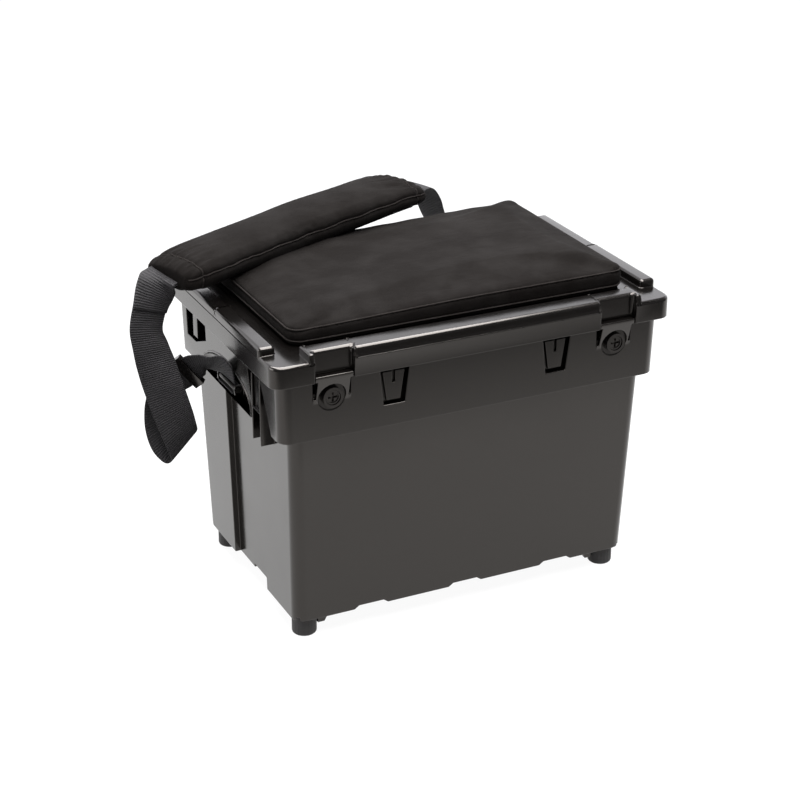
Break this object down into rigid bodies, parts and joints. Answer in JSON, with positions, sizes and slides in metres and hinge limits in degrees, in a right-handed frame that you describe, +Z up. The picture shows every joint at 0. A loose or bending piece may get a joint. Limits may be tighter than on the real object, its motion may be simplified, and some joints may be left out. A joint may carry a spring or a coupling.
{
  "type": "fishing seat box",
  "caption": "Moulded tackle box to sit on, with a hinged padded lid, quarter-turn locks, screwed-on feet and a padded shoulder strap.",
  "frame": {"origin": "on the ground, under the middle of the whole object's box, straps and pad included", "axes": "+Z up, +Y towards the hinged rear, +X to the right as seen from the front with the two locks"},
  "size_m": [0.611, 0.394, 0.4102],
  "materials": {
    "box_plastic": "satin moulded",
    "lock_plastic": "smooth moulded",
    "foot_rubber": "matt",
    "cover_fabric": "woven nylon",
    "webbing": "ribbed webbing",
    "steel": "zinc plated",
    "black_steel": "black coated",
    "plywood": "bare"
  },
  "bodies": {
    "box": {"tub": "box_plastic", "collar": "box_plastic", "foot_front_left": "foot_rubber", "foot_screw_front_left": "steel", "foot_front_right": "foot_rubber", "foot_screw_front_right": "steel", "foot_rear_left": "foot_rubber", "foot_screw_rear_left": "steel", "foot_rear_right": "foot_rubber", "foot_screw_rear_right": "steel", "lock_bezel_left": "lock_plastic", "lock_bush_left": "lock_plastic", "lock_bezel_right": "lock_plastic", "lock_bush_right": "lock_plastic", "hinge_pin_left": "steel", "hinge_clip_left": "steel", "hinge_pin_right": "steel", "hinge_clip_right": "steel", "strap_left": "webbing", "strap_right": "webbing", "strap_slider": "lock_plastic", "strap_bar_left": "black_steel", "strap_bar_right": "black_steel"},
    "lid": {"lock_keeper_left": "steel", "keeper_screw_left_1": "steel", "keeper_screw_left_2": "steel", "lock_keeper_right": "steel", "keeper_screw_right_1": "steel", "keeper_screw_right_2": "steel", "lid": "box_plastic", "cushion": "cover_fabric", "cushion_board": "plywood", "cushion_screw_1": "steel", "cushion_screw_2": "steel", "cushion_screw_3": "steel", "cushion_screw_4": "steel", "shoulder_pad": "cover_fabric"},
    "lock_left": {"lock_barrel_left": "lock_plastic", "lock_cam_left": "steel", "lock_cam_screw_left": "steel"},
    "lock_right": {"lock_barrel_right": "lock_plastic", "lock_cam_right": "steel", "lock_cam_screw_right": "steel"}
  },
  "joints": [
    {"name": "lid_hinge", "type": "hinge", "parent": "box", "child": "lid", "pos_m": [0.01909, 0.13301, 0.312], "axis": [-1, 0, 0], "range_deg": [0, 100], "deforming": ["strap_left", "strap_right"]},
    {"name": "lock_left_turn", "type": "hinge", "parent": "box", "child": "lock_left", "pos_m": [-0.15191, -0.18799, 0.299], "axis": [0, -1, 0], "range_deg": [0, 90]},
    {"name": "lock_right_turn", "type": "hinge", "parent": "box", "child": "lock_right", "pos_m": [0.19009, -0.18799, 0.299], "axis": [0, 1, 0], "range_deg": [0, 90]}
  ]
}
